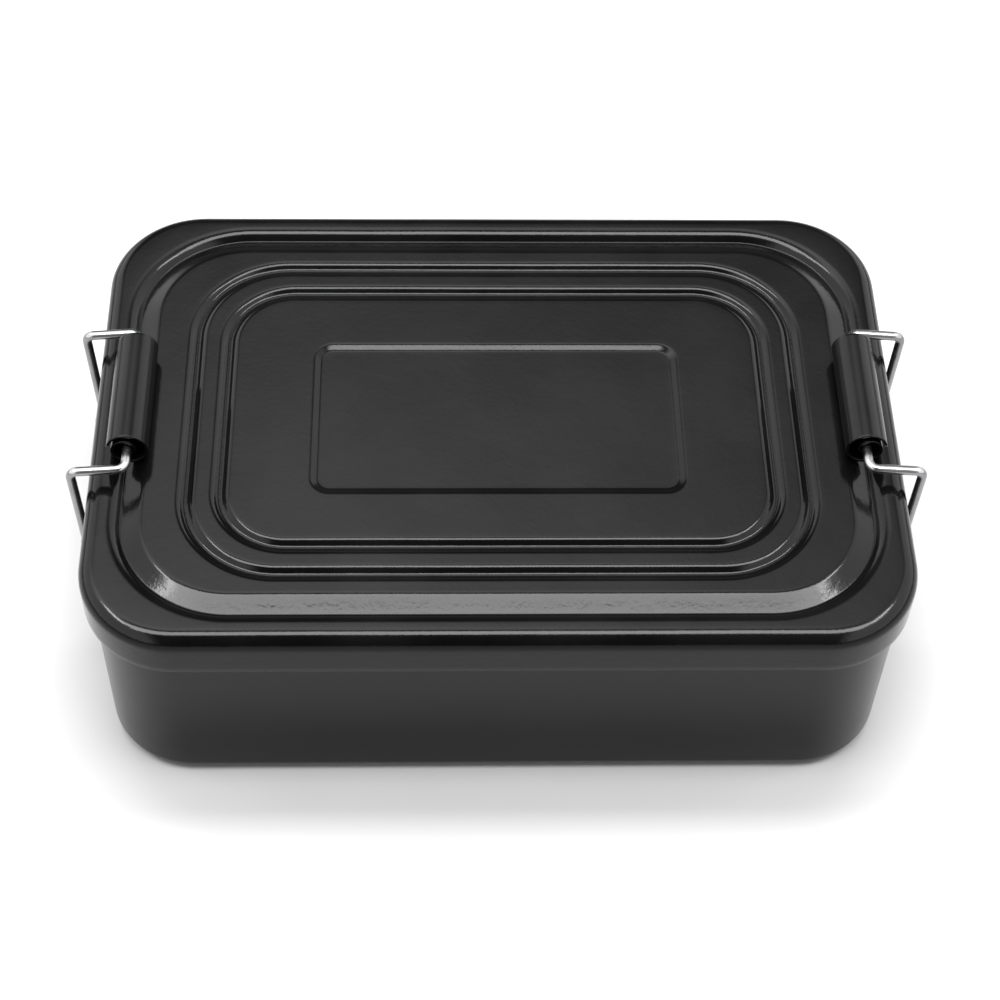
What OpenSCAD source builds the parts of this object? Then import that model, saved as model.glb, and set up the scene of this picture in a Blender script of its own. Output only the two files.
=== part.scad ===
// Pressed metal lunch box: a deep drawn tray, a lid with a pressed perimeter channel, two
// stiffening grooves and a sunk centre panel, and a wire bail clip with a rolled grip at each end.
// Origin: centre of the underside. X runs along the length, Y from front to back, Z is up.

/* [Lid] */
// Length of the lid over its skirt
lid_l = 180; // [150:1:220]
// Depth of the lid over its skirt
lid_d = 123.4; // [100:0.1:145]
// Height of the closed box
box_h = 56; // [48:1:70]
// Outer corner radius of the lid in plan
lid_corner_r = 21.5; // [16:0.5:26]
// Radius of the rounded edge between the crown and the skirt
rim_r = 3.7; // [2.5:0.1:5]
// Height of the skirt from its lower edge to the crown
skirt_h = 11.5; // [9:0.1:16]
// Sheet thickness of the lid and the tray
sheet_t = 0.7; // [0.5:0.05:1]

/* [Lid channel] */
// Distance from the end of the lid to the bottom line of the perimeter channel
channel_in_x = 8.2; // [7.5:0.1:12]
// Distance from the front of the lid to the bottom line of the perimeter channel
channel_in_y = 8.2; // [7.5:0.1:12]
// Corner radius of the channel's bottom line
channel_corner_r = 24.5; // [18:0.5:28]
// Depth of the channel below the crown
channel_depth = 1.9; // [1.2:0.1:2.6]
// Width of the channel's steep outer wall
channel_wall_w = 3.4; // [2.8:0.1:3.8]
// Width of the channel's gentle inner slope
channel_slope_w = 4.6; // [3.5:0.1:6]

/* [Lid grooves] */
// Distance from the channel's bottom line to the outer groove along the length
outer_groove_in_x = 13.6; // [10:0.1:20]
// Distance from the channel's bottom line to the outer groove along the depth
outer_groove_in_y = 9.7; // [8:0.1:14]
// Corner radius of the outer groove
outer_groove_r = 20.5; // [14:0.5:24]
// Distance between the two grooves
groove_gap = 7.4; // [6:0.1:10]
// Corner radius of the inner groove
inner_groove_r = 15; // [9:0.5:18]
// Depth of both grooves
groove_depth = 1.2; // [0.8:0.1:2]
// Half width of both grooves at the top
groove_half_w = 2.2; // [1.6:0.1:2.6]

/* [Lid panel] */
// Length of the sunk centre panel
panel_l = 85; // [60:1:95]
// Depth of the sunk centre panel
panel_d = 45.2; // [30:0.1:50]
// Corner radius of the sunk centre panel
panel_r = 5; // [4:0.5:8]
// How far the panel is sunk
panel_sink = 0.7; // [0.5:0.1:1.5]
// Width of the panel's sloping edge
panel_edge_w = 2.9; // [1.5:0.1:3]

/* [Tray] */
// Gap between the inside of the lid's skirt and the tray wall
lid_gap = 1.3; // [0.4:0.1:2]
// Radius of the rounded edge along the foot of the tray
foot_r = 4; // [3:0.5:9]
// Radius of the bead curled inwards along the tray's mouth
curl_r = 1.1; // [0.9:0.05:1.4]
// Clearance between the curled bead and the inside of the lid's edge
curl_gap = 0.25; // [0.1:0.05:0.5]

/* [Clips] */
// Height of the bail's pivot above the table
pivot_z = 31; // [26:0.5:36]
// Distance from the lid's skirt out to the bail's pivot
pivot_out = 2.4; // [2.1:0.1:4]
// How much further out the bail's outer bends stand than its pivot
bail_flare = 0.7; // [0:0.1:2]
// Diameter of the bail wire
wire_d = 2.1; // [1.6:0.1:2.6]
// Distance between the centres of the bail's two legs
leg_gap = 39; // [30:0.2:50]
// How far the grip's axis lies inboard of the pivot
grip_in = 11.4; // [10.5:0.1:13]
// Outside diameter of the rolled grip
grip_d = 9.2; // [8:0.1:10]
// Length of the rolled grip
grip_l = 29.8; // [22:0.2:34]
// How far the grip sits towards the back along its wire
grip_shift = 0.7; // [0:0.1:2]
// Sheet thickness of the grip
grip_t = 0.6; // [0.5:0.05:0.8]
// Gap between the grip and the lid's edge as the clip swings over it
grip_pass_gap = 0.6; // [0.5:0.05:0.9]
// How far the bail drops from the grip's axis to its outer bend
bail_drop = 1.1; // [0.5:0.1:3]
// Running clearance round the wire, on the radius
wire_gap = 0.06; // [0.04:0.01:0.1]

/* [Brackets] */
// Sheet thickness of the bracket
bracket_t = 0.8; // [0.6:0.1:1]
// Height of the bracket's plate
bracket_h = 12; // [10:0.5:14]
// Radius of the bracket's rounded ears
ear_r = 1.9; // [1.8:0.1:2.2]
// Gap between the bail's leg and the ear beside it
ear_gap = 0.5; // [0.3:0.1:1]
// Distance between the two rivets of a bracket
rivet_gap = 16; // [12:0.5:20]
// Diameter of a rivet's shank
rivet_d = 2.4; // [2:0.1:3]
// Diameter of a rivet's head
rivet_head_d = 4.8; // [4:0.1:5.5]
// Height of a rivet's head
rivet_head_h = 0.9; // [0.7:0.1:1.3]

/* [Hidden] */
$fn = 48;

skirt_z = box_h - skirt_h;
// how far the tray wall's outer face lies inside the lid's skirt
wall_in = sheet_t + lid_gap;
wall_x = lid_l / 2 - wall_in;
// the curled bead touches an imaginary arc that lies curl_gap inside the lid's rounded edge
curl_in = wall_in + curl_r;
curl_reach = rim_r - sheet_t - curl_gap - curl_r;
curl_z = box_h - rim_r + sqrt(pow(curl_reach, 2) - pow(rim_r - curl_in, 2));

// the channel and the grooves, as the size of each one's bottom line
channel_l = lid_l - 2 * channel_in_x;
channel_d = lid_d - 2 * channel_in_y;
outer_groove_l = channel_l - 2 * outer_groove_in_x;
outer_groove_d = channel_d - 2 * outer_groove_in_y;
inner_groove_l = outer_groove_l - 2 * groove_gap;
inner_groove_d = outer_groove_d - 2 * groove_gap;
// the flat strip in the bottom of the channel and the grooves
crease_w = 0.4;

// radius of the channel's outer lip, and where its facet turns down, as shares of width and depth
lip_r = 3.5;
lip_turn_w = 0.62;
lip_turn_drop = 0.14;

pivot_x = lid_l / 2 + pivot_out;
grip_r = grip_d / 2;
wire_r = wire_d / 2;
// the wire is a touch thicker where it's bent
corner_r = wire_r * 1.04;
// the grip swings over the lip with grip_pass_gap to spare
lip_in = channel_in_x - channel_wall_w;
lip_reach = norm([pivot_out + lip_in, box_h - lip_r - pivot_z]) + lip_r;
swing_r = lip_reach + grip_pass_gap + grip_r;
grip_x = pivot_x - grip_in;
grip_z = pivot_z + sqrt(pow(swing_r, 2) - pow(grip_in, 2));

leg_y = leg_gap / 2;
ear_y = leg_y - wire_r - ear_gap - bracket_t / 2;
// how far each end of the wire reaches inwards from the middle of its ear
stub_l = 2.6;
plate_top = pivot_z + ear_r;
plate_h = bracket_h + 2 * ear_r;
// the rivets sit a little above the middle of the plate's lower part
rivet_z = pivot_z - bracket_h / 2 - ear_r + 1;
// the flat head inside the tray
inner_head_h = 0.6;
// the slot along the grip's open edge, as shares of its radius: middle, width and height
slot_mid = [0.8, -0.32];
slot_size = [0.9, 0.5];

// Outline of a rectangle with rounded corners
module true_rect(l, d, r) {
    square([l, d - 2 * r], center = true);
    square([l - 2 * r, d], center = true);
    for (x = [-1, 1], y = [-1, 1])
        translate([x * (l / 2 - r), y * (d / 2 - r)])
            circle(r);
}

// Carries a section round a rounded rectangle: the section's x is measured outwards from it
module carry_round(l, d, r) {
    for (i = [0:3]) {
        half = i % 2 == 0 ? l / 2 : d / 2;
        run = i % 2 == 0 ? d - 2 * r : l - 2 * r;
        rotate(90 * i) {
            translate([half, run / 2, 0])
                rotate([90, 0, 0])
                    linear_extrude(run)
                        children();
            translate([half - r, run / 2, 0])
                rotate_extrude(angle = 90)
                    translate([r, 0])
                        children();
        }
    }
}

// A flat ring of sheet between two rounded rectangles given as [length, depth, radius]
module web(outer, inner, top) {
    translate([0, 0, top - sheet_t])
        linear_extrude(sheet_t)
            difference() {
                true_rect(outer[0], outer[1], outer[2]);
                true_rect(inner[0], inner[1], inner[2]);
            }
}

// Size of a rounded rectangle moved outwards by s
function grown(l, d, r, s) = [l + 2 * s, d + 2 * s, r + s];

// Points of an arc from angle a to angle b
function arc(cx, cy, r, a, b, steps) =
    [for (i = [0:steps]) let (t = a + (b - a) * i / steps) [cx + r * cos(t), cy + r * sin(t)]];

// Skirt and rounded edge, as a section with x = 0 on the outer face
module rim_section() {
    cy = box_h - rim_r;
    polygon(concat(
        [[0, skirt_z]],
        arc(-rim_r, cy, rim_r, 0, 90, 8),
        arc(-rim_r, cy, rim_r - sheet_t, 90, 0, 8),
        [[-sheet_t, skirt_z]]));
}

// Pressed channel: steep wall outside, gentle slope inside, x = 0 on the bottom line
module channel_section() {
    w = channel_wall_w;
    turn_w = w * lip_turn_w;
    turn_z = box_h - channel_depth * lip_turn_drop;
    low_z = box_h - channel_depth;
    polygon([
        [w, box_h], [turn_w, turn_z], [crease_w, low_z], [-crease_w, low_z],
        [-channel_slope_w, box_h], [-channel_slope_w, box_h - sheet_t],
        [-crease_w, low_z - sheet_t], [crease_w, low_z - sheet_t],
        [turn_w, turn_z - sheet_t], [w, box_h - sheet_t]]);
}

// Pressed stiffening groove, x = 0 on the bottom line
module groove_section() {
    w = groove_half_w;
    polygon([
        [w, box_h], [crease_w, box_h - groove_depth], [-crease_w, box_h - groove_depth],
        [-w, box_h], [-w, box_h - sheet_t], [-crease_w, box_h - groove_depth - sheet_t],
        [crease_w, box_h - groove_depth - sheet_t], [w, box_h - sheet_t]]);
}

// Sloping edge of the sunk panel, x = 0 at its outer line
module panel_section() {
    polygon([
        [0, box_h], [-panel_edge_w, box_h - panel_sink],
        [-panel_edge_w, box_h - panel_sink - sheet_t], [0, box_h - sheet_t]]);
}

module lid() {
    ch = channel_corner_r;
    edge = grown(lid_l, lid_d, lid_corner_r, -rim_r);
    ch_out = grown(channel_l, channel_d, ch, channel_wall_w);
    ch_in = grown(channel_l, channel_d, ch, -channel_slope_w);
    g1_out = grown(outer_groove_l, outer_groove_d, outer_groove_r, groove_half_w);
    g1_in = grown(outer_groove_l, outer_groove_d, outer_groove_r, -groove_half_w);
    g2_out = grown(inner_groove_l, inner_groove_d, inner_groove_r, groove_half_w);
    g2_in = grown(inner_groove_l, inner_groove_d, inner_groove_r, -groove_half_w);
    panel = [panel_l, panel_d, panel_r];
    color([0.05, 0.05, 0.055]) union() {
        carry_round(lid_l, lid_d, lid_corner_r) rim_section();
        web(edge, ch_out, box_h);
        carry_round(channel_l, channel_d, ch) channel_section();
        web(ch_in, g1_out, box_h);
        carry_round(outer_groove_l, outer_groove_d, outer_groove_r) groove_section();
        web(g1_in, g2_out, box_h);
        carry_round(inner_groove_l, inner_groove_d, inner_groove_r) groove_section();
        web(g2_in, panel, box_h);
        carry_round(panel_l, panel_d, panel_r) panel_section();
        translate([0, 0, box_h - panel_sink - sheet_t])
            linear_extrude(sheet_t)
                true_rect(panel_l - 2 * panel_edge_w, panel_d - 2 * panel_edge_w,
                    panel_r - panel_edge_w);
    }
}

// Wall, rounded foot and curled bead of the tray, x = 0 on the wall's outer face
module tray_section() {
    polygon(concat(
        [[0, curl_z]],
        [[-sheet_t, curl_z]],
        arc(-foot_r, foot_r, foot_r - sheet_t, 0, -90, 8),
        arc(-foot_r, foot_r, foot_r, -90, 0, 8)));
    translate([-curl_r, curl_z])
        circle(curl_r);
}

module base_tray() {
    l = lid_l - 2 * wall_in;
    d = lid_d - 2 * wall_in;
    r = lid_corner_r - wall_in;
    color([0.06, 0.06, 0.065])
        difference() {
            union() {
                carry_round(l, d, r) tray_section();
                linear_extrude(sheet_t)
                    true_rect(l - 2 * foot_r, d - 2 * foot_r, r - foot_r);
            }
            for (side = [-1, 1])
                rivet_places(side)
                    cylinder(d = rivet_d, h = 4 * sheet_t, center = true);
        }
}

// Puts its children at both rivets of one end, with +Z pointing out of the tray wall
module rivet_places(side) {
    for (y = [-1, 1])
        translate([side * (wall_x - sheet_t / 2), y * rivet_gap / 2, rivet_z])
            rotate([0, side * 90, 0])
                children();
}

// Sheet bracket: a plate on the tray wall with two ears that hold the ends of the bail
module bracket(side) {
    color([0.08, 0.08, 0.085])
        difference() {
            union() {
                translate([side * (wall_x + bracket_t / 2), 0, plate_top - plate_h / 2])
                    cube([bracket_t, 2 * ear_y + bracket_t, plate_h], center = true);
                for (y = [-1, 1])
                    translate([0, y * ear_y, pivot_z])
                        rotate([90, 0, 0])
                            linear_extrude(bracket_t, center = true) {
                                translate([side * pivot_x, 0])
                                    circle(ear_r);
                                translate([side * (wall_x + pivot_x) / 2, 0])
                                    square([pivot_x - wall_x, 2 * ear_r], center = true);
                            }
            }
            translate([side * pivot_x, 0, pivot_z])
                rotate([90, 0, 0])
                    cylinder(r = wire_r + wire_gap, h = leg_gap, center = true);
            rivet_places(side)
                cylinder(d = rivet_d, h = 4 * (sheet_t + bracket_t), center = true);
        }
}

module left_bracket() bracket(-1);
module right_bracket() bracket(1);

// Two dome headed rivets through the bracket and the tray wall
module rivets(side) {
    head_z = sheet_t / 2 + bracket_t;
    color([0.07, 0.07, 0.075])
        rivet_places(side) {
            translate([0, 0, -sheet_t / 2 - inner_head_h])
                cylinder(d = rivet_head_d, h = inner_head_h);
            translate([0, 0, -sheet_t / 2 - inner_head_h])
                cylinder(d = rivet_d, h = sheet_t + bracket_t + inner_head_h);
            translate([0, 0, head_z])
                rotate_extrude()
                    polygon([
                        [0, 0],
                        for (a = [0:22.5:90])
                            [rivet_head_d / 2 * cos(a), rivet_head_h * sin(a)]]);
        }
}

module left_rivets() rivets(-1);
module right_rivets() rivets(1);

// A straight piece of wire from a to b
module wire_run(a, b) {
    v = b - a;
    translate(a)
        rotate([0, acos(v[2] / norm(v)), atan2(v[1], v[0])])
            cylinder(r = wire_r, h = norm(v));
}

// The bail: crossbar through the grip, two runs out over the lid's edge, two legs down to the
// pivot, and two short ends turned inwards through the bracket's ears
module bail(side) {
    grip = [side * grip_x, leg_y, grip_z];
    out = [side * (pivot_x + bail_flare), leg_y, grip_z - bail_drop];
    foot = [side * pivot_x, leg_y, pivot_z];
    color([0.75, 0.76, 0.78])
        union() {
            wire_run([side * grip_x, -leg_y, grip_z], grip);
            for (m = [0, 1])
                mirror([0, m, 0]) {
                    wire_run(grip, out);
                    wire_run(out, foot);
                    wire_run(foot, [side * pivot_x, ear_y - stub_l, pivot_z]);
                    for (p = [grip, out, foot])
                        translate(p)
                            sphere(r = corner_r);
                }
        }
}

module left_bail() bail(-1);
module right_bail() bail(1);

// Rolled grip: an open tube of sheet whose inner edge curls round the wire
module grip(side) {
    core_r = wire_r + wire_gap;
    color([0.05, 0.05, 0.055])
        translate([side * grip_x, grip_shift, grip_z])
            rotate([90, 0, 0])
                linear_extrude(grip_l, center = true)
                    union() {
                        difference() {
                            circle(grip_r);
                            circle(grip_r - grip_t);
                            // the open slot, low on the outboard side
                            translate([side * slot_mid[0], slot_mid[1]] * grip_r)
                                square(slot_size * grip_r, center = true);
                        }
                        difference() {
                            union() {
                                circle(core_r + grip_t);
                                translate([0, -(grip_r - grip_t / 2) / 2])
                                    square([grip_t, grip_r - grip_t / 2], center = true);
                            }
                            circle(core_r);
                        }
                    }
}

module left_grip() grip(-1);
module right_grip() grip(1);

base_tray();
lid();
left_bracket();
right_bracket();
left_rivets();
right_rivets();
left_bail();
right_bail();
left_grip();
right_grip();
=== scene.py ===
import math

import bpy
import numpy as np
from mathutils import Matrix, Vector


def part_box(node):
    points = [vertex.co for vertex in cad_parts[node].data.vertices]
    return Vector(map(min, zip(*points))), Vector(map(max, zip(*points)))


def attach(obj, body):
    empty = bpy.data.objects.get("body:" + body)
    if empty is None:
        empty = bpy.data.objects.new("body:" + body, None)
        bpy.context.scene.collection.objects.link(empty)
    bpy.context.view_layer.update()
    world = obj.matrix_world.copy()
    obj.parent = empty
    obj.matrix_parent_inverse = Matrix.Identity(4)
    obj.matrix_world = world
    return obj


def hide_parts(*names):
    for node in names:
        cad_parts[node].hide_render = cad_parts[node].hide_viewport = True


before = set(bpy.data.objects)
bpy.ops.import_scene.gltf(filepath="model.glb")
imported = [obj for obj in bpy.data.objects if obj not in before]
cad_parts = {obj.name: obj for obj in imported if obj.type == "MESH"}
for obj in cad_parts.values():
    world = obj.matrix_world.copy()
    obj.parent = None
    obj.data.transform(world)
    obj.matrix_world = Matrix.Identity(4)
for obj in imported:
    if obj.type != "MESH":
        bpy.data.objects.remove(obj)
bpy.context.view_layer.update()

# ---------------------------------------------------------------------------------------------
# Tray. One sheet of steel drawn into a deep box with soft corners, its mouth curled inwards
# into a bead, and sprayed gloss black inside and out. The lid drops over the bead.
# ---------------------------------------------------------------------------------------------

MM = 0.001
SHEET = 0.7 * MM
TRAY_HALF_L = 88.0 * MM
TRAY_HALF_D = 59.7 * MM
TRAY_CORNER = 19.5 * MM
FOOT_RADIUS = 4.0 * MM
BEAD_RADIUS = 1.1 * MM
BEAD_TURN = 291.0
BEAD_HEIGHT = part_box("base_tray")[1].z - BEAD_RADIUS


def walk(start, heading, stretches):
    """A line in a flat section, walked from a start point at a heading in degrees. Each stretch
    is (length, turn, steps): the heading turns evenly by that many degrees along it. Every point
    is the running sum of the short steps before it, each laid along the heading at its middle."""
    parts = [np.full(steps, length / steps) for length, turn, steps in stretches]
    turns = [np.full(steps, turn / steps) for length, turn, steps in stretches]
    step, turn = np.concatenate(parts), np.radians(np.concatenate(turns))
    ahead = math.radians(heading) + np.cumsum(turn)
    middle = ahead - turn / 2
    points = np.cumsum(np.stack([step * np.cos(middle), step * np.sin(middle)], 1), 0)
    points = np.concatenate([[[0.0, 0.0]], points]) + np.array(start)
    return points, np.concatenate([[math.radians(heading)], ahead])


def round_outline(corner_steps, side_steps):
    """A rounded rectangle's points, as the parts of each that don't depend on its size: the point
    is (u (half_l - r) + c r, v (half_d - r) + s r), with u and v from -1 to 1 along the straight
    sides and (c, s) the unit outward direction, which turns only in the corners."""
    turn = np.linspace(0, math.pi / 2, corner_steps, endpoint=False)
    along = np.linspace(1, -1, side_steps, endpoint=False)
    still, one = np.zeros(side_steps), np.ones(side_steps)
    round_u, round_v = np.ones(corner_steps), np.ones(corner_steps)
    quarter = np.stack([
        np.concatenate([round_u, along]), np.concatenate([round_v, one]),
        np.concatenate([np.cos(turn), still]), np.concatenate([np.sin(turn), one])])
    u, v, c, s = quarter
    return np.concatenate([
        [u, v, c, s], [-v, u, -s, c], [-u, -v, -c, -s], [v, -u, s, -c]], 1)


def closed_rings(rings):
    """Mesh data for rings of equal length one inside the next: a grid of four-sided faces, with
    the first and the last ring each drawn together to a point at its middle."""
    count, n = rings.shape[:2]
    grid = np.arange(count * n).reshape(count, n)
    after = np.roll(grid, -1, 1)
    quads = np.stack([grid[:-1], after[:-1], after[1:], grid[1:]], -1).reshape(-1, 4)
    first, last = count * n, count * n + 1
    fans = [np.stack([after[0], grid[0], np.full(n, first)], 1),
            np.stack([grid[-1], after[-1], np.full(n, last)], 1)]
    points = np.concatenate([rings.reshape(-1, 3), [rings[0].mean(0)], [rings[-1].mean(0)]])
    return points, [*quads.tolist(), *fans[0].tolist(), *fans[1].tolist()]


def make_piece(name, points, faces, body, material, stands_for=()):
    """A smooth mesh in its place in the row frame, that rides on a CAD body."""
    mesh = bpy.data.meshes.new(name)
    mesh.from_pydata(points.tolist(), [], faces)
    mesh.polygons.foreach_set("use_smooth", [True] * len(mesh.polygons))
    mesh.update()
    mesh.materials.append(material)
    piece = bpy.data.objects.new(name, mesh)
    bpy.context.scene.collection.objects.link(piece)
    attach(piece, body)
    if stands_for:
        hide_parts(*stands_for)
    return piece


def rings_from(plan, outline):
    """Rings of a pressed shape. Each row of plan is (half_l, half_d, r, z) of one rounded
    rectangle, and the outline carries it round."""
    half_l, half_d, r, z = (column[:, None] for column in plan.T)
    u, v, c, s = outline
    return np.stack([u * (half_l - r) + c * r, v * (half_d - r) + s * r,
                     np.broadcast_to(z, (len(plan), outline.shape[1]))], -1)


def moved_out(shape, section):
    """Plan rows for a section of (out, z) points that is carried along a rounded rectangle."""
    out, z = section.T
    return np.stack([shape[0] + out, shape[1] + out, shape[2] + out, z], 1)


class Flow:
    """A shader socket. Python's operators on it add Math nodes, and node() adds any other."""

    def __init__(self, tree, socket=None):
        self.tree, self.socket = tree, socket

    def node(self, kind, settings, inputs, output=0):
        """One node: its settings go in first, then the values or links of its sockets."""
        made = self.tree.nodes.new("ShaderNode" + kind)
        for name, value in settings.items():
            setattr(made, name, value)
        for name, value in inputs.items():
            if isinstance(value, Flow):
                self.tree.links.new(value.socket, made.inputs[name])
            else:
                made.inputs[name].default_value = value
        return Flow(self.tree, made.outputs[output])

    def maths(self, operation, *values):
        return self.node("Math", {"operation": operation}, dict(enumerate(values)))

    def __add__(self, other):
        return self.maths("ADD", self, other)

    __radd__ = __add__

    def __sub__(self, other):
        return self.maths("SUBTRACT", self, other)

    def __rsub__(self, other):
        return self.maths("SUBTRACT", other, self)

    def __mul__(self, other):
        return self.maths("MULTIPLY", self, other)

    __rmul__ = __mul__

    def blend(self, first, second):
        """A colour that goes from the first to the second as this value goes from 0 to 1."""
        return self.node("Mix", {"data_type": "RGBA"}, {0: self, 6: first, 7: second}, 2)

    def rise(self, low, high):
        """0 below low, 1 above high, and a smooth climb between them."""
        settings = {"interpolation_type": "SMOOTHSTEP"}
        return self.node("MapRange", settings, {0: self, 1: low, 2: high})

    def noise(self, place, scale, detail=2.0, roughness=0.5):
        """Soft noise around a half. The scale is its waves to the metre."""
        inputs = {"Vector": place, "Scale": scale, "Detail": detail, "Roughness": roughness}
        return self.node("TexNoise", {}, inputs)


def new_material(name):
    """An empty node material: its tree as a Flow, its main shader, and the object's own
    coordinates in metres."""
    material = bpy.data.materials.new(name)
    material.use_nodes = True
    tree = material.node_tree
    start = Flow(tree)
    place = start.node("TexCoord", {}, {}, "Object")
    return material, start, tree.nodes["Principled BSDF"], place


def gloss_black(name, peel, haze, level_above=1.0):
    """Sprayed gloss black enamel on steel. It is nearly black, a little hazy in patches, with
    the fine pebbled skin of sprayed paint. peel is the skin's height in metres, and haze the
    roughness of the clean gloss. Above the height level_above the faces lie flat, and the wet
    paint has levelled out there to under half the peel."""
    material, start, shader, place = new_material(name)
    patch = start.noise(place, 45.0, 3.0)
    speck = start.noise(place, 900.0, 1.0)
    shade = patch.rise(0.35, 0.7).blend((0.0006, 0.0006, 0.0007, 1), (0.0013, 0.0013, 0.0014, 1))
    pebble = start.noise(place, 950.0, 1.5, 0.6)
    long_wave = start.noise(place, 260.0, 1.0)
    up = start.node("SeparateXYZ", {}, {0: place}, 2)
    still = up.rise(level_above, level_above + 0.35 * MM)
    height = (pebble * 0.75 + long_wave * 0.8 - 0.775) * (1 - still * 0.6)
    bump = start.node("Bump", {}, {"Strength": 1.0, "Distance": peel, "Height": height})
    shader.inputs["IOR"].default_value = 1.26
    shader.inputs["Specular IOR Level"].default_value = 0.5
    links = start.tree.links
    links.new(shade.socket, shader.inputs["Base Color"])
    links.new((patch * 0.07 + speck * 0.03 + haze).socket, shader.inputs["Roughness"])
    links.new(bump.socket, shader.inputs["Normal"])
    return material


tray_paint = gloss_black("tray_black_enamel", 5.0e-6, 0.16)

# Outside, from the middle of the underside out, round the foot and up the wall, over the bead,
# then back down inside at one sheet's thickness.
outline = round_outline(18, 14)
tray_shape = (TRAY_HALF_L, TRAY_HALF_D, TRAY_CORNER)
outer, _ = walk((-FOOT_RADIUS, 0), 0, [(FOOT_RADIUS * math.pi / 2, 90, 10)])
wall = np.stack([np.zeros(7), np.linspace(FOOT_RADIUS, BEAD_HEIGHT, 8)[1:]], 1)
bead, _ = walk(wall[-1], 90, [(BEAD_RADIUS * math.radians(BEAD_TURN), BEAD_TURN, 20)])
inner_foot = (FOOT_RADIUS - SHEET) * math.pi / 2
inside, _ = walk((-FOOT_RADIUS, SHEET), 0, [(inner_foot, 90, 8)])
inner_wall = np.stack([np.full(6, -SHEET), np.linspace(FOOT_RADIUS, bead[-1, 1], 8)[1:-1]], 1)
tray_section = np.concatenate([outer, wall, bead[1:], inner_wall[::-1], inside[::-1]])
tray_plan = moved_out(tray_shape, tray_section)
shrink = np.linspace(0.04, 0.96, 8)[:, None]
floor_out = np.concatenate([tray_plan[0, :3] * shrink, np.zeros((8, 1))], 1)
floor_in = np.concatenate([tray_plan[-1, :3] * shrink[::-1], np.full((8, 1), SHEET)], 1)
tray_rings = rings_from(np.concatenate([floor_out, tray_plan, floor_in]), outline)
tray_points, tray_faces = closed_rings(tray_rings)
make_piece("pressed_tray", tray_points, tray_faces, "base", tray_paint,
           ["base_tray"])

# ---------------------------------------------------------------------------------------------
# Lid. One pressed sheet: a skirt, a rounded edge, a steep-walled channel just inside it, two
# stiffening grooves and a shallow sunk panel. Sprayed with the same enamel as the tray.
# ---------------------------------------------------------------------------------------------

LID_HALF_L = 90.0 * MM
LID_HALF_D = 61.7 * MM
LID_CORNER = 21.5 * MM
LID_TOP = 56.0 * MM
SKIRT_FOOT = 44.5 * MM
EDGE_RADIUS = 3.8 * MM
# Each pressed form's half length, half depth and corner radius, along its lowest line.
CHANNEL = (81.8 * MM, 53.5 * MM, 24.5 * MM)
CHANNEL_DEPTH = 1.9 * MM
OUTER_GROOVE = (68.2 * MM, 43.65 * MM, 20.5 * MM)
INNER_GROOVE = (60.9 * MM, 36.3 * MM, 14.9 * MM)
GROOVE_DEPTH = 1.15 * MM
PANEL = (42.5 * MM, 22.6 * MM, 5.6 * MM)
PANEL_SINK = 0.7 * MM
PANEL_EDGE = 3.1 * MM


def pressed_lip(radius, lean, depth, crease):
    """Stretches down a pressed wall: a rounded lip turns down by lean degrees, a straight wall
    falls, and a tight crease turns level again. The wall is as long as brings the whole to
    depth: what the two turns don't drop, over the sine of the lean."""
    turn = math.radians(lean)
    fallen = (radius + crease) * (1 - math.cos(turn))
    wall = (depth - fallen) / math.sin(turn)
    return [(radius * turn, -lean, 12), (wall, 0, 3), (crease * turn, lean, 6)]


def mirrored(stretches):
    """The same stretches walked the other way, so that a wall that fell now climbs."""
    return [(length, turn, steps) for length, turn, steps in reversed(stretches)]


def across(stretches, top, middle_out):
    """Section rows (out, z, heading) of a pressed form walked inwards from the crown, moved so
    that its lowest point has the distance out that is asked for."""
    points, heading = walk((0, top), 0, stretches)
    lowest = points[points[:, 1] <= points[:, 1].min() + 1e-7, 0].mean()
    points[:, 0] = middle_out - (points[:, 0] - lowest)
    return np.concatenate([points, heading[:, None]], 1)


def lid_rows(shape, section):
    """Plan rows with the heading kept beside them, for the offset to the underside."""
    return np.concatenate([moved_out(shape, section[:, :2]), section[:, 2:]], 1)


def between(first, last, steps):
    """Flat rows that lead from one plan row to the next form's first row."""
    share = np.linspace(0, 1, steps + 2)[1:-1, None]
    return first + (last - first) * share


skirt = np.stack([np.zeros(6), np.linspace(SKIRT_FOOT + SHEET / 2, LID_TOP - EDGE_RADIUS, 6),
                  np.full(6, math.pi / 2)], 1)
edge, edge_heading = walk((0, LID_TOP - EDGE_RADIUS), 90, [(EDGE_RADIUS * math.pi / 2, -90, 16)])
edge[:, 0] = -edge[:, 0]
edge_rows = np.concatenate([edge[1:], edge_heading[1:, None]], 1)
rim_rows = lid_rows((LID_HALF_L, LID_HALF_D, LID_CORNER), np.concatenate([skirt, edge_rows]))

channel_wall = pressed_lip(3.5 * MM, 48.0, CHANNEL_DEPTH, 0.4 * MM)
channel_slope = pressed_lip(3.2 * MM, 24.0, CHANNEL_DEPTH, 0.5 * MM)
channel = across([*channel_wall, *mirrored(channel_slope)], LID_TOP, 0.0)
channel_rows = lid_rows(CHANNEL, channel)

groove_wall = pressed_lip(2.0 * MM, 42.0, GROOVE_DEPTH, 1.2 * MM)
groove = across([*groove_wall, *mirrored(groove_wall)], LID_TOP, 0.0)
outer_groove_rows = lid_rows(OUTER_GROOVE, groove)
inner_groove_rows = lid_rows(INNER_GROOVE, groove)

panel_edge = across(pressed_lip(2.0 * MM, 23.0, PANEL_SINK, 1.6 * MM), LID_TOP, -PANEL_EDGE)
panel_rows = lid_rows(PANEL, panel_edge)

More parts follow.
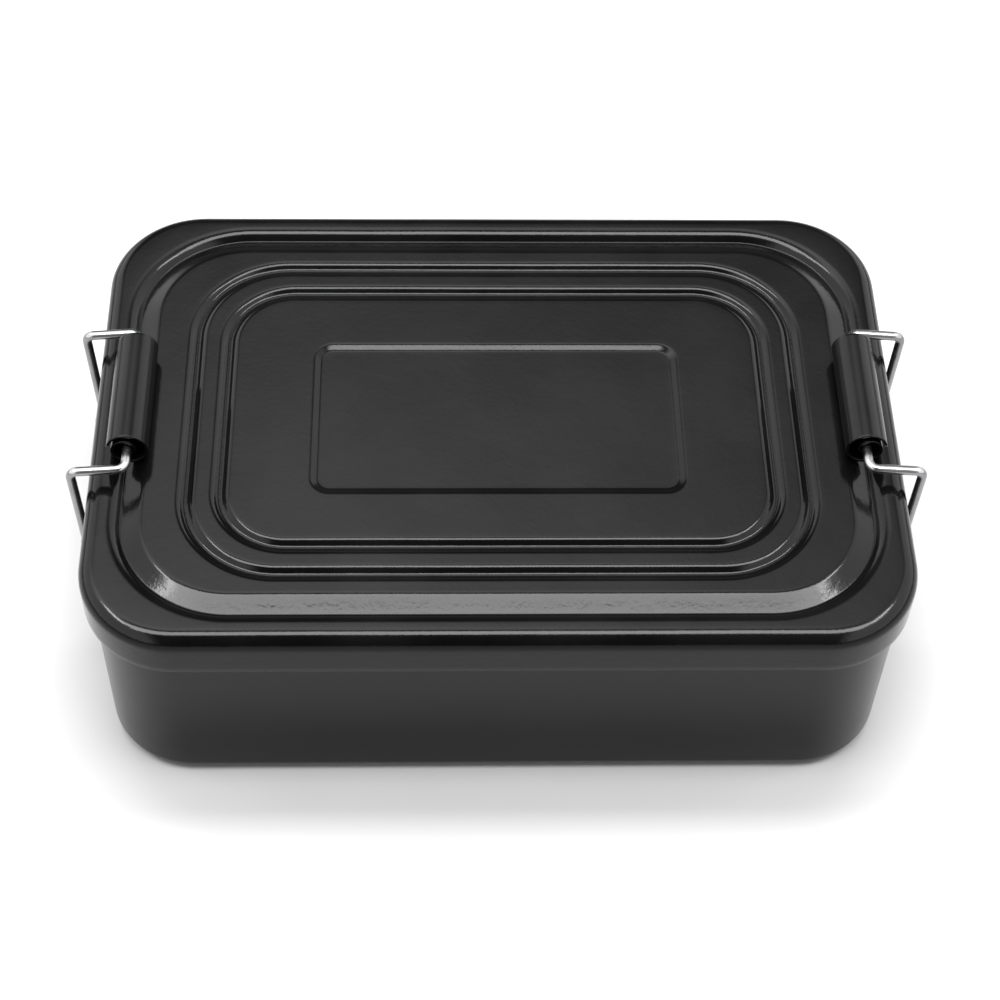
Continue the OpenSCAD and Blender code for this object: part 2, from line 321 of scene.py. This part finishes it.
# From the rim inwards, with the number of flat rows that lead from each form to the next.
rows = [rim_rows]
for web, form in ((0, channel_rows), (6, outer_groove_rows), (3, inner_groove_rows),
                  (10, panel_rows)):
    rows += [between(rows[-1][-1], form[0], web), form]
last = rows[-1][-1]
shrink = np.linspace(0.96, 0.04, 14)[:, None]
middle = np.concatenate([last[:3] * shrink, np.broadcast_to(last[3:], (14, 2))], 1)
top_rows = np.concatenate([*rows, middle])

# The underside lies one sheet's thickness in along each row's normal, and the skirt's cut edge
# is rounded between them.
heading = top_rows[:, 4]
inward = SHEET * np.sin(heading)
under_rows = top_rows[:, :4] - np.stack([inward, inward, inward, SHEET * np.cos(heading)], 1)
cut = np.linspace(0, -math.pi, 7)[1:-1]
cut_section = np.stack([-SHEET / 2 + SHEET / 2 * np.cos(cut),
                        skirt[0, 1] + SHEET / 2 * np.sin(cut)], 1)
cut_rows = moved_out((LID_HALF_L, LID_HALF_D, LID_CORNER), cut_section)
lid_plan = np.concatenate([top_rows[::-1, :4], cut_rows, under_rows])
lid_rings = rings_from(lid_plan, round_outline(20, 22))

# The pressed forms don't share one centre: the grooves sit a little nearer the front than the
# skirt does, and the panel nearer still. The half depth of a ring tells how far it has moved.
half_depths = [22.0 * MM, 36.0 * MM, 44.0 * MM, 53.0 * MM]
drift = np.interp(lid_plan[:, 1], half_depths, [-1.5 * MM, -0.57 * MM, -0.45 * MM, 0.0])
lid_rings[..., 1] += drift[:, None]


def sheet_wave(x, y):
    """How far pressed sheet stands off true, in metres: three long, shallow sine waves that
    cross each other, a few hundredths of a millimetre high."""
    return (0.020 * np.sin(x * 61 + 1.1) * np.cos(y * 83 + 0.4)
            + 0.012 * np.sin(x * 148 - y * 97 + 2.0)
            + 0.008 * np.sin(x * 203 + y * 171 + 0.7)) * MM


flat_share = np.clip((lid_rings[..., 2] - LID_TOP + EDGE_RADIUS) / EDGE_RADIUS, 0, 1)
lid_rings[..., 2] += sheet_wave(lid_rings[..., 0], lid_rings[..., 1]) * flat_share
lid_points, lid_faces = closed_rings(lid_rings[::-1])
lid_paint = gloss_black("lid_black_enamel", 4.0e-5, 0.09, LID_TOP - 1.1 * MM)
make_piece("pressed_lid", lid_points, lid_faces, "lid", lid_paint, ["lid"])

# ---------------------------------------------------------------------------------------------
# Brackets. On each end wall a bent sheet bracket, its two ears turned outwards to hold the ends
# of the bail. Riveted on and sprayed with the box.
# ---------------------------------------------------------------------------------------------

PIVOT_X = 92.4 * MM
PIVOT_Z = 31.0 * MM
BRACKET_SHEET = 0.8 * MM
EAR_Y = 17.55 * MM
EAR_RADIUS = 1.9 * MM
PLATE_FOOT = 17.0 * MM


def open_grid(rows, columns):
    """Faces of an open grid of points."""
    grid = np.arange(rows * columns).reshape(rows, columns)
    quads = np.stack([grid[:-1, :-1], grid[1:, :-1], grid[1:, 1:], grid[:-1, 1:]], -1)
    return quads.reshape(-1, 4).tolist()


def bracket_sheet(side):
    """The bracket's middle surface. A line runs in along one ear, turns a tight corner, crosses
    the plate and runs out along the other ear. Its height spans the plate, and narrows at each
    ear to a tab with a half round end."""
    x_plate = TRAY_HALF_L + BRACKET_SHEET / 2 + 0.02 * MM
    tip = PIVOT_X + EAR_RADIUS
    bend = 1.0 * MM
    ear = tip - x_plate - bend
    half = 2 * (EAR_Y - bend)
    line, _ = walk((tip, -EAR_Y), 180, [(ear, 0, 26), (bend * math.pi / 2, -90, 6),
                                        (half, 0, 40), (bend * math.pi / 2, -90, 6),
                                        (ear, 0, 26)])
    out = np.clip((line[:, 0] - PIVOT_X) / EAR_RADIUS, 0, 1)
    tab = EAR_RADIUS * np.sqrt(1 - out ** 2 * 0.999)
    neck = np.clip((line[:, 0] - x_plate - 0.15 * MM) / (0.8 * MM), 0, 1)
    neck = neck * neck * (3 - 2 * neck)
    low = PLATE_FOOT * (1 - neck) + (PIVOT_Z - tab) * neck
    high = PIVOT_Z + tab
    share = np.linspace(0, 1, 13)
    z = low[:, None] + (high - low)[:, None] * share
    x = np.broadcast_to(line[:, :1] * side, z.shape)
    y = np.broadcast_to(line[:, 1:], z.shape)
    points = np.stack([x, y, z], -1)
    return points[::-1] if side > 0 else points


def sheet_piece(name, points, thickness, rounding, body, material, stands_for):
    """A piece of bent sheet: its middle surface, given thickness and softened edges."""
    rows, columns = points.shape[:2]
    piece = make_piece(name, points.reshape(-1, 3), open_grid(rows, columns), body,
                       material, stands_for)
    solid = piece.modifiers.new("thickness", "SOLIDIFY")
    solid.thickness = thickness
    solid.offset = 0
    solid.use_even_offset = True
    soft = piece.modifiers.new("soft_edges", "BEVEL")
    soft.width = rounding
    soft.segments = 2
    soft.limit_method = "ANGLE"
    soft.angle_limit = math.radians(50)
    return piece


bracket_paint = gloss_black("bracket_black_enamel", 4.0e-6, 0.2)
for name, side in (("left", -1), ("right", 1)):
    sheet_piece(f"{name}_ear_bracket", bracket_sheet(side), BRACKET_SHEET, 0.15 * MM, "base",
                bracket_paint, [f"{name}_bracket"])

# ---------------------------------------------------------------------------------------------
# Rivets. Two to a bracket, set through the bracket and the tray wall, with a domed head outside
# and a flat one inside, painted over with the box.
# ---------------------------------------------------------------------------------------------

RIVET_Y = 8.0 * MM
RIVET_Z = 24.0 * MM
RIVET_HEAD = 2.4 * MM
RIVET_SHANK = 1.2 * MM
INNER_HEAD = 0.6 * MM
DOME_HEIGHT = 0.9 * MM
HEAD_EDGE = 0.06 * MM


def rivet_rings(side, y):
    """A turned shape: each (radius, out) of the profile is carried round the rivet's axis, which
    lies along X. The profile starts at the flat inner head and ends on the dome."""
    inner = -SHEET - INNER_HEAD
    ease, gap = 0.15 * MM, 0.02 * MM
    profile = np.array([(RIVET_HEAD / 6, inner), (RIVET_HEAD - ease, inner),
                        (RIVET_HEAD, inner + ease), (RIVET_HEAD, -SHEET),
                        (RIVET_SHANK, gap - SHEET), (RIVET_SHANK, BRACKET_SHEET),
                        (RIVET_HEAD, BRACKET_SHEET + gap)])
    dome = np.linspace(0, math.pi / 2, 9)[:-1]
    cap = np.stack([RIVET_HEAD * np.cos(dome), BRACKET_SHEET + HEAD_EDGE
                    + (DOME_HEIGHT - HEAD_EDGE) * np.sin(dome)], 1)
    radius, out = np.concatenate([profile, cap]).T
    turn = np.linspace(0, 2 * math.pi, 32, endpoint=False) * side
    ring = np.ones_like(turn)
    return np.stack([side * (TRAY_HALF_L + out)[:, None] * ring,
                     y + radius[:, None] * np.cos(turn),
                     RIVET_Z + radius[:, None] * np.sin(turn)], -1)


rivet_paint = gloss_black("rivet_black_enamel", 3.0e-6, 0.2)
for name, side in (("left", -1), ("right", 1)):
    for place, y in (("front", -RIVET_Y), ("back", RIVET_Y)):
        points, faces = closed_rings(rivet_rings(side, y))
        stands_for = [f"{name}_rivets"] if place == "front" else []
        make_piece(f"{name}_{place}_rivet", points, faces, "base", rivet_paint,
                   stands_for)

# ---------------------------------------------------------------------------------------------
# Bails. Each is one length of bright drawn steel wire, bent cold: a crossbar through the grip,
# two runs out over the lid's edge, two legs down, and short ends turned in through the ears.
# ---------------------------------------------------------------------------------------------

WIRE_RADIUS = 1.05 * MM
LEG_Y = 19.5 * MM
GRIP_X = 81.0 * MM
GRIP_Z = (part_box("left_grip")[0].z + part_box("left_grip")[1].z) / 2
FLARE_X = 93.1 * MM
DROP_Z = GRIP_Z - 1.1 * MM
STUB_END_Y = EAR_Y - 2.6 * MM
FOOT_BEND = 1.6 * MM
BEND = 1.9 * MM


def filleted(corners, radii, steps, spacing):
    """A path through corner points with each corner turned on an arc of its own radius. The arc
    starts r tan(turn / 2) before the corner, and its points are the two leg directions mixed by
    the sine and cosine of the angle turned so far."""
    corners = np.array(corners)
    legs = corners[1:] - corners[:-1]
    ways = legs / np.linalg.norm(legs, axis=1)[:, None]
    path, start = [], corners[0]
    for corner, way, onward, radius in zip(corners[1:-1], ways, ways[1:], radii):
        turn = math.acos(np.clip(way @ onward, -1, 1))
        across_way = (onward - way * math.cos(turn)) / math.sin(turn)
        begin = corner - way * radius * math.tan(turn / 2)
        count = max(2, int(np.linalg.norm(begin - start) / spacing))
        path.append(start + (begin - start) * np.linspace(0, 1, count, endpoint=False)[:, None])
        angle = np.linspace(0, turn, steps, endpoint=False)[:, None]
        path.append(begin + radius * (way * np.sin(angle) + across_way * (1 - np.cos(angle))))
        start = begin + radius * (way * math.sin(turn) + across_way * (1 - math.cos(turn)))
    count = max(2, int(np.linalg.norm(corners[-1] - start) / spacing))
    path.append(start + (corners[-1] - start) * np.linspace(0, 1, count)[:, None])
    return np.concatenate(path)


def wire_rings(path, radius, around):
    """Rings of a round wire along a path. Each ring stands square to the path's direction, on
    two axes made from it and a fixed slanting line that the path never follows."""
    way = np.gradient(path, axis=0)
    way /= np.linalg.norm(way, axis=1)[:, None]
    first = np.cross(way, np.array([0.6, 0.5, 0.62]))
    first /= np.linalg.norm(first, axis=1)[:, None]
    second = np.cross(way, first)
    turn = np.linspace(0, 2 * math.pi, around, endpoint=False)
    reach = np.broadcast_to(radius, (len(path),))[:, None, None]
    return (path[:, None] + reach * (first[:, None] * np.cos(turn)[:, None]
                                     + second[:, None] * np.sin(turn)[:, None]))


def bail_path(side):
    """The wire's middle line, from one end in its ear to the other."""
    half = [(side * PIVOT_X, STUB_END_Y, PIVOT_Z), (side * PIVOT_X, LEG_Y, PIVOT_Z),
            (side * FLARE_X, LEG_Y, DROP_Z), (side * GRIP_X, LEG_Y, GRIP_Z)]
    other = [(x, -y, z) for x, y, z in reversed(half)]
    radii = [FOOT_BEND, BEND, BEND, BEND, BEND, FOOT_BEND]
    return filleted([*half, *other], radii, 10, 1.2 * MM)


def bright_wire(name):
    """Bright drawn steel: a metal with fine lines and faint dull patches from drawing."""
    material, start, shader, place = new_material(name)
    patch = start.noise(place, 220.0, 3.0)
    scratch = start.noise(place, 2600.0, 2.0, 0.7)
    shade = patch.rise(0.3, 0.75).blend((0.31, 0.31, 0.315, 1), (0.23, 0.23, 0.235, 1))
    height = scratch * 0.6 + patch * 0.6
    bump = start.node("Bump", {}, {"Strength": 1.0, "Distance": 4.0e-6, "Height": height})
    shader.inputs["Metallic"].default_value = 1.0
    links = start.tree.links
    links.new(shade.socket, shader.inputs["Base Color"])
    links.new((patch * 0.16 + scratch * 0.06 + 0.12).socket, shader.inputs["Roughness"])
    links.new(bump.socket, shader.inputs["Normal"])
    return material


wire_steel = bright_wire("bright_drawn_wire")
for name, side in (("left", -1), ("right", 1)):
    path = bail_path(side)
    points, faces = closed_rings(wire_rings(path, WIRE_RADIUS, 20))
    make_piece(f"{name}_bail_wire", points, faces, f"{name}_clip", wire_steel,
               [f"{name}_bail"])

# ---------------------------------------------------------------------------------------------
# Grips. A strip of thin black sheet rolled into a tube round each crossbar. Its outer edge stays
# open on the outboard side, cut back near the rear end, and its inner edge curls in to the wire.
# ---------------------------------------------------------------------------------------------

GRIP_RADIUS = 4.6 * MM
GRIP_SHEET = 0.6 * MM
GRIP_SHIFT = 0.7 * MM
GRIP_HALF = 14.9 * MM
OPEN_EDGE = 12.0
NOTCH_START = 9.0 * MM
NOTCH_RUN = 2.8 * MM
NOTCH_TURN = 20.0
CURL_START = 262.0
CURL_END = 600.0


def rolled_sheet(side):
    """The roll's middle surface. The angle runs from the open outboard edge over the top, down
    the inboard side and round underneath. The radius is steady up to there, and then falls
    smoothly as the inner edge curls in to the wire. Near the rear end the open edge starts at a
    greater angle, which cuts the corner off."""
    y = np.linspace(-GRIP_HALF, GRIP_HALF, 48) + GRIP_SHIFT
    cut = np.clip((y - NOTCH_START) / NOTCH_RUN, 0, 1)
    first = OPEN_EDGE + NOTCH_TURN * cut * cut * (3 - 2 * cut)
    share = np.linspace(0, 1, 150)
    angle = first[:, None] + (CURL_END - first)[:, None] * share
    curl = np.clip((angle - CURL_START) / (CURL_END - CURL_START), 0, 1)
    full = GRIP_RADIUS - GRIP_SHEET / 2
    core = WIRE_RADIUS + GRIP_SHEET / 2 + 0.12 * MM
    radius = full - (full - core) * np.sin(curl * math.pi / 2) ** 1.3
    x = side * (GRIP_X + radius * np.cos(np.radians(angle)))
    z = GRIP_Z + radius * np.sin(np.radians(angle))
    points = np.stack([x, np.broadcast_to(y[:, None], x.shape), z], -1)
    return points if side > 0 else points[::-1]


def bare_edge(material):
    """Leaves the roll's cut edge bare and bright: a band on the outboard side, a third of a
    millimetre high, that starts where the sheet does."""
    tree = material.node_tree
    shader = tree.nodes["Principled BSDF"]
    start = Flow(tree)
    place = start.node("TexCoord", {}, {}, "Object")
    across_x = start.node("SeparateXYZ", {}, {0: place}, 0)
    up = start.node("SeparateXYZ", {}, {0: place}, 2)
    out = start.maths("ABSOLUTE", across_x)
    edge = GRIP_Z + (GRIP_RADIUS - GRIP_SHEET / 2) * math.sin(math.radians(OPEN_EDGE))
    band = start.maths("ABSOLUTE", up - edge)
    bare = (1 - band.rise(0.12 * MM, 0.32 * MM)) * out.rise(GRIP_X + 3.4 * MM, GRIP_X + 3.8 * MM)
    paint = Flow(tree, shader.inputs["Base Color"].links[0].from_socket)
    shade = bare.blend(paint, (0.5, 0.5, 0.51, 1))
    tree.links.new(shade.socket, shader.inputs["Base Color"])
    tree.links.new((bare * 0.9).socket, shader.inputs["Metallic"])


grip_paint = gloss_black("grip_black_enamel", 8.0e-6, 0.16)
bare_edge(grip_paint)
for name, side in (("left", -1), ("right", 1)):
    sheet_piece(f"{name}_rolled_grip", rolled_sheet(side), GRIP_SHEET, 0.12 * MM, f"{name}_roll",
                grip_paint, [f"{name}_grip"])

# ---------------------------------------------------------------------------------------------
# Studio. A pale floor under a broad softbox with a narrow strip at either side, a key light from
# behind that the gloss doesn't mirror, a pale sweep behind and to the sides, and the camera,
# raised and looking down at the front of the box.
# ---------------------------------------------------------------------------------------------

FLOOR_REACH = 4.0
FLOOR_Z = -0.02 * MM
floor_corners = [(-FLOOR_REACH, -FLOOR_REACH, FLOOR_Z), (FLOOR_REACH, -FLOOR_REACH, FLOOR_Z),
                 (FLOOR_REACH, FLOOR_REACH, FLOOR_Z), (-FLOOR_REACH, FLOOR_REACH, FLOOR_Z)]
floor_mesh = bpy.data.meshes.new("studio_floor")
floor_mesh.from_pydata(floor_corners, [], [(0, 1, 2, 3)])
floor = bpy.data.objects.new("studio_floor", floor_mesh)
bpy.context.scene.collection.objects.link(floor)
floor_paper, start, shader, place = new_material("pale_studio_paper")
fibre = start.noise(place, 35.0, 3.0)
start.tree.links.new(fibre.blend((0.187, 0.187, 0.187, 1), (0.197, 0.197, 0.197, 1)).socket,
                     shader.inputs["Base Color"])
shader.inputs["Roughness"].default_value = 0.9
shader.inputs["Specular IOR Level"].default_value = 0.1
floor_mesh.materials.append(floor_paper)


def soft_panel(name, place, aim, size, power):
    """A rectangular soft light that faces its aim point."""
    data = bpy.data.lights.new(name, "AREA")
    data.shape = "RECTANGLE"
    data.size, data.size_y = size
    data.energy = power
    light = bpy.data.objects.new(name, data)
    light.location = place
    back = np.array(place) - np.array(aim)
    back /= np.linalg.norm(back)
    side_way = np.cross([0, 1, 0], back)
    side_way /= np.linalg.norm(side_way)
    up_way = np.cross(back, side_way)
    turn = np.eye(4)
    turn[:3, 0], turn[:3, 1], turn[:3, 2], turn[:3, 3] = side_way, up_way, back, place
    light.matrix_world = Matrix(turn.tolist())
    bpy.context.scene.collection.objects.link(light)
    return light


soft_panel("overhead_softbox", (0, -0.22, 1.15), (0, -0.22, 0), (1.5, 0.4), 36.0)
soft_panel("left_strip", (-0.80, 0.03, 1.15), (-0.80, 0.03, 0), (0.14, 0.5), 9.0)
soft_panel("right_strip", (0.80, 0.03, 1.15), (0.80, 0.03, 0), (0.14, 0.5), 9.0)
rear_key = soft_panel("rear_key", (0, 0.22, 1.0), (0, 0, 0), (0.6, 0.26), 34.0)
rear_key.visible_glossy = False

world = bpy.data.worlds.new("studio_sweep")
bpy.context.scene.world = world
world.use_nodes = True
sky = Flow(world.node_tree)
way = sky.node("TexCoord", {}, {}, "Generated")
way_x, way_y, way_z = (sky.node("SeparateXYZ", {}, {0: way}, axis) for axis in range(3))
# The light behind falls off to the right, and the floor is seen against plain white.
fade = 1.05 - way_x * 2.2
rear = way_y.rise(0.1, 0.3) * way_z.rise(0.62, 0.95) * sky.maths("MINIMUM", fade, 1.12)
sides = sky.maths("ABSOLUTE", way_x).rise(0.3, 0.5) * way_z.rise(0.0, 0.15)
glow = rear * 4.8 + sides * 2.6 + 0.12
seen = sky.node("LightPath", {}, {}, "Is Camera Ray")
strength = glow + seen * (1.02 - glow)
world.node_tree.links.new(strength.socket, world.node_tree.nodes["Background"].inputs["Strength"])
world.node_tree.nodes["Background"].inputs["Color"].default_value = (1, 1, 1, 1)

CAMERA_PLACE = (-0.01357, -0.31366, 0.44118)
PITCH, YAW, ROLL = np.radians([53.108, 2.7305, 2.1126])
lens = bpy.data.cameras.new("camera")
lens.sensor_width = 36.0
lens.lens = 79.73
lens.clip_start = 0.01
camera = bpy.data.objects.new("camera", lens)
ahead = np.array([math.sin(YAW) * math.cos(PITCH), math.cos(YAW) * math.cos(PITCH),
                  -math.sin(PITCH)])
level = np.array([math.cos(YAW), -math.sin(YAW), 0.0])
upright = np.cross(level, ahead)
turned = np.eye(4)
turned[:3, 0] = level * math.cos(ROLL) + upright * math.sin(ROLL)
turned[:3, 1] = upright * math.cos(ROLL) - level * math.sin(ROLL)
turned[:3, 2] = -ahead
turned[:3, 3] = CAMERA_PLACE
camera.matrix_world = Matrix(turned.tolist())
bpy.context.scene.collection.objects.link(camera)
bpy.context.scene.camera = camera
bpy.context.scene.view_settings.view_transform = "Standard"
